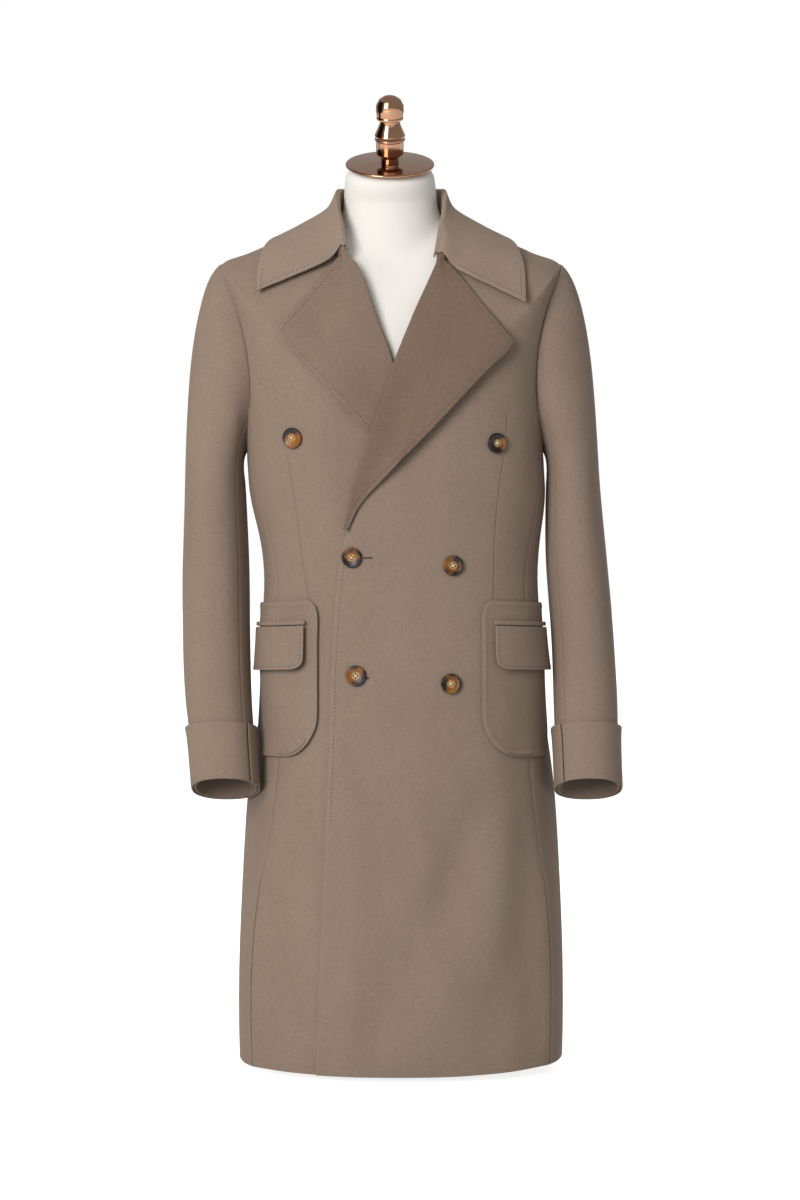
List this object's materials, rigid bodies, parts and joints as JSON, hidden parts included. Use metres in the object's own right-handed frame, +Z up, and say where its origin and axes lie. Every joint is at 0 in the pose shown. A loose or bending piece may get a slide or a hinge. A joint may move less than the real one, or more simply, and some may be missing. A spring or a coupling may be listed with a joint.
{
  "type": "overcoat on a limbless dress form",
  "caption": "Long double-breasted overcoat with wide pointed lapels, an ulster collar, patch pockets with flaps and turned-back cuffs, worn by a limbless dress form on a low stand.",
  "frame": {"origin": "centre of the underside of the stand's base, on the floor", "axes": "+Z up; -Y is the coat's front, towards the viewer; +X is the wearer's left, the viewer's right"},
  "size_m": [0.5606, 0.2609, 1.2368],
  "materials": {
    "coat_cloth": "napped wool overcoating, matt taupe",
    "button": "polished horn, amber with dark patches",
    "form_cover": "smooth off-white linen stretched over the form",
    "copper": "mirror-polished copper",
    "stand_steel": "satin dark grey paint"
  },
  "bodies": {
    "root": {"front_left": "coat_cloth", "front_right": "coat_cloth", "side_left": "coat_cloth", "side_right": "coat_cloth", "back_left": "coat_cloth", "back_right": "coat_cloth", "sleeve_top_left": "coat_cloth", "sleeve_top_right": "coat_cloth", "sleeve_under_left": "coat_cloth", "sleeve_under_right": "coat_cloth", "cuff_left": "coat_cloth", "cuff_right": "coat_cloth", "lapel_left": "coat_cloth", "lapel_right": "coat_cloth", "pocket_left": "coat_cloth", "pocket_right": "coat_cloth", "flap_left": "coat_cloth", "flap_right": "coat_cloth", "jet_left": "coat_cloth", "jet_right": "coat_cloth", "collar": "coat_cloth", "button_top_left": "button", "button_top_right": "button", "button_middle_left": "button", "button_middle_right": "button", "button_low_left": "button", "button_low_right": "button", "form": "form_cover", "neck_cap": "copper", "finial": "copper", "stand_pole": "stand_steel", "stand_base": "stand_steel"}
  },
  "joints": []
}
